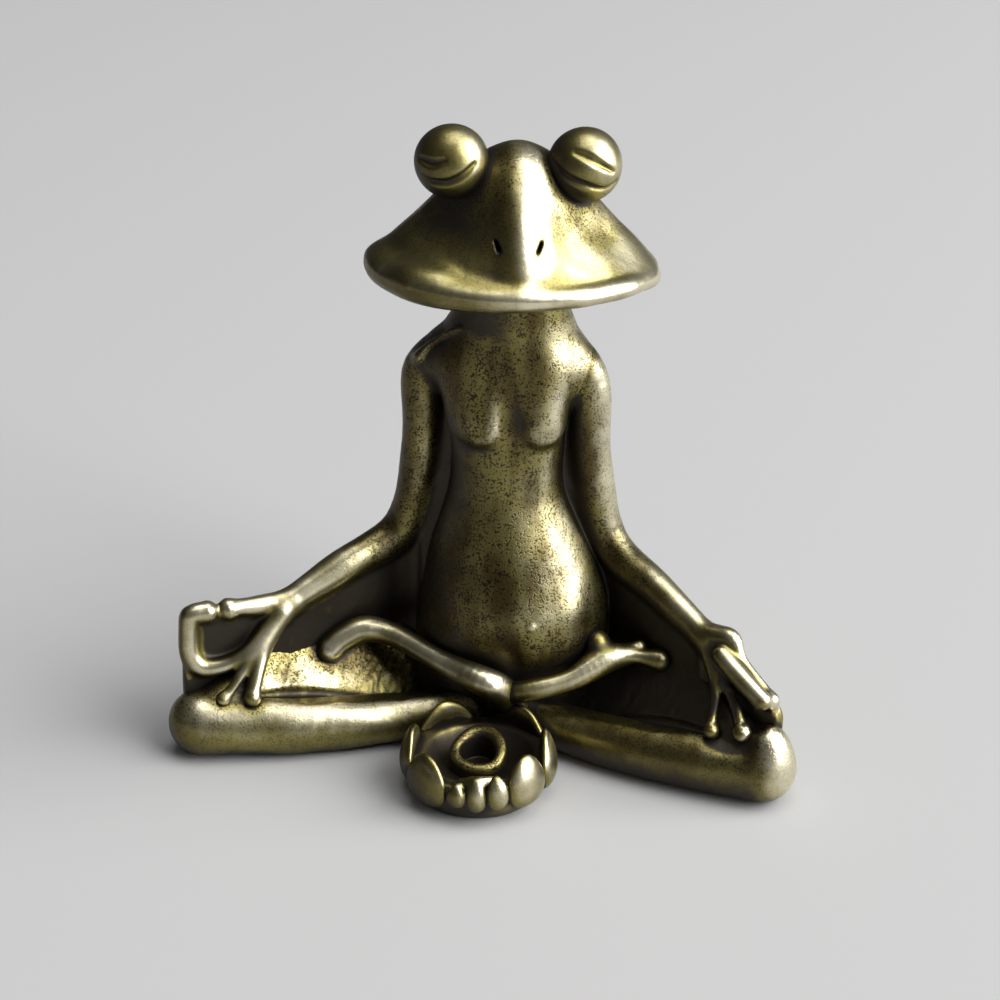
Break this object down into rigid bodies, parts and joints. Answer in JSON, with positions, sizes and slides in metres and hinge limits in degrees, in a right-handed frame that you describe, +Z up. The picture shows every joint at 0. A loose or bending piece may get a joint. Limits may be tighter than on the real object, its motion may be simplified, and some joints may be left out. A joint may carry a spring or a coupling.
{
  "type": "incense stick holder",
  "caption": "Small brass incense holder: a frog with closed eyes sits in the lotus position behind a petalled lotus cup whose short tube holds the stick upright.",
  "frame": {"origin": "on the ground, in the flat underside of the torso, below the middle of the trunk", "axes": "+Z up; the frog looks along -Y, so its own left side is +X"},
  "size_m": [0.042, 0.0209, 0.0425],
  "materials": {
    "antique_brass": "antique brass, rubbed bright on the high spots, dark in the hollows",
    "dark_brass": "brass with a dark patina"
  },
  "bodies": {
    "root": {"torso": "antique_brass", "head": "antique_brass", "left_eye": "antique_brass", "right_eye": "antique_brass", "left_leg": "antique_brass", "right_leg": "antique_brass", "left_foot": "antique_brass", "right_foot": "antique_brass", "left_arm": "antique_brass", "right_arm": "antique_brass", "left_hand": "antique_brass", "right_hand": "antique_brass", "lotus_cup": "dark_brass", "stick_socket": "antique_brass", "lotus_petal_1": "antique_brass", "lotus_petal_2": "antique_brass", "lotus_petal_3": "antique_brass", "lotus_petal_4": "antique_brass", "lotus_petal_5": "antique_brass", "lotus_petal_6": "antique_brass", "lotus_petal_7": "antique_brass", "lotus_petal_8": "antique_brass"}
  },
  "joints": []
}
